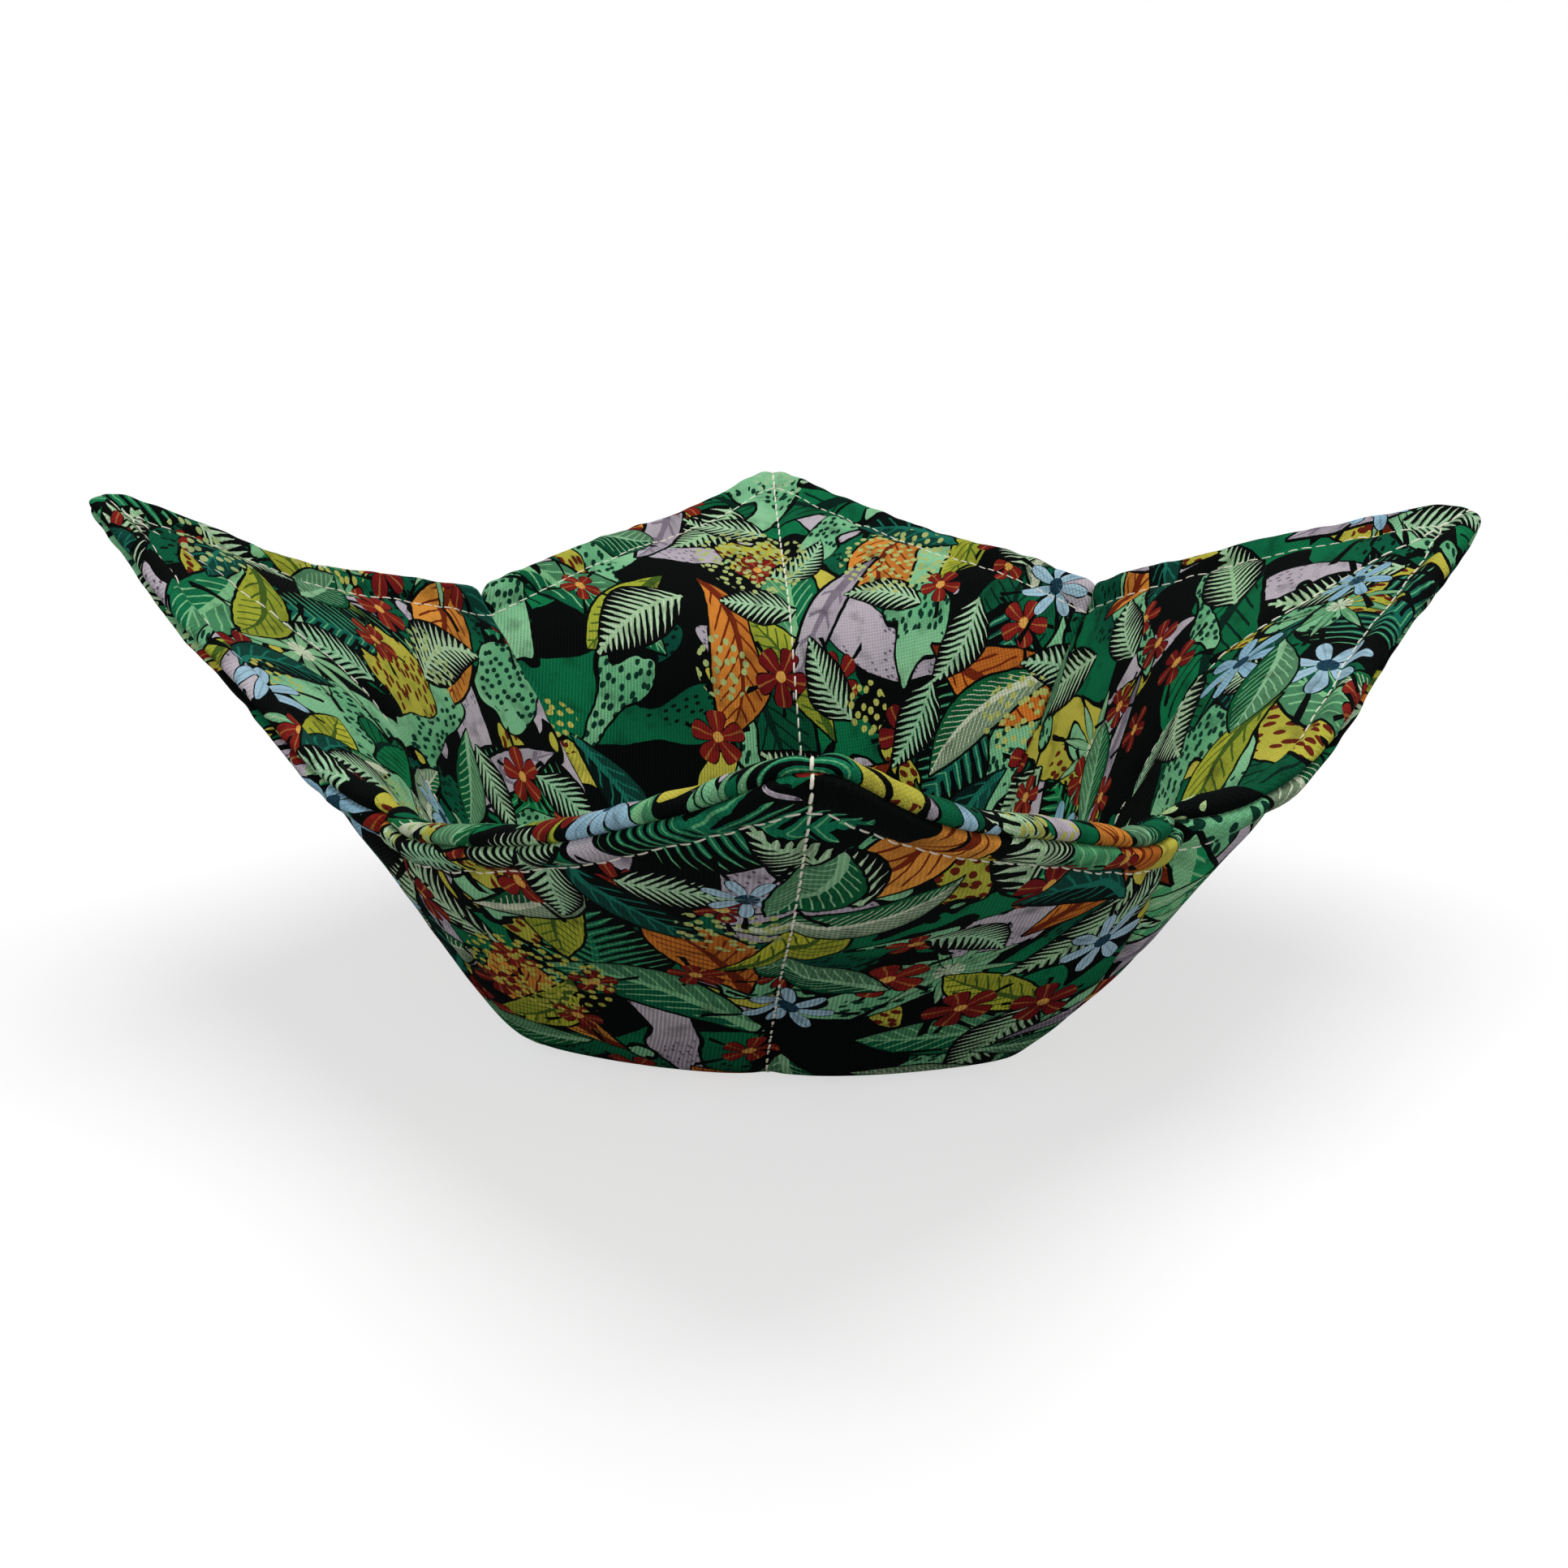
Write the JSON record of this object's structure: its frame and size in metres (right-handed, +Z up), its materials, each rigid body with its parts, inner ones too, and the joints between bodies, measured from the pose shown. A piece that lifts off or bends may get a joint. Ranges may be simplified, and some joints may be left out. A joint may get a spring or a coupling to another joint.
{
  "type": "microwave bowl cozy",
  "caption": "Padded cotton bowl cozy: a quilted, reversible cloth square, darted mid-side into a round nest, whose corners stand up as points to lift by.",
  "frame": {"origin": "centre of the object's box at the level of the flat base it stands on", "axes": "+Z up out of the nest; the points lie on the X and Y axes, the front one towards -Y, and the darts between them"},
  "size_m": [0.2598, 0.2815, 0.0941],
  "materials": {
    "outer_print": "printed plain-weave quilting cotton, leaves in greens, teal, lilac, lime and orange on near-black",
    "lining_print": "the same printed cotton, another part of the repeat",
    "batting": "needled natural cotton wadding",
    "thread": "cream cotton sewing thread"
  },
  "bodies": {
    "root": {"outer_cover": "outer_print", "outer_batting": "batting", "lining_batting": "batting", "inner_lining": "lining_print", "outer_quilting_thread": "thread", "lining_quilting_thread": "thread", "outer_rim_topstitch": "thread", "lining_rim_topstitch": "thread"}
  },
  "joints": []
}
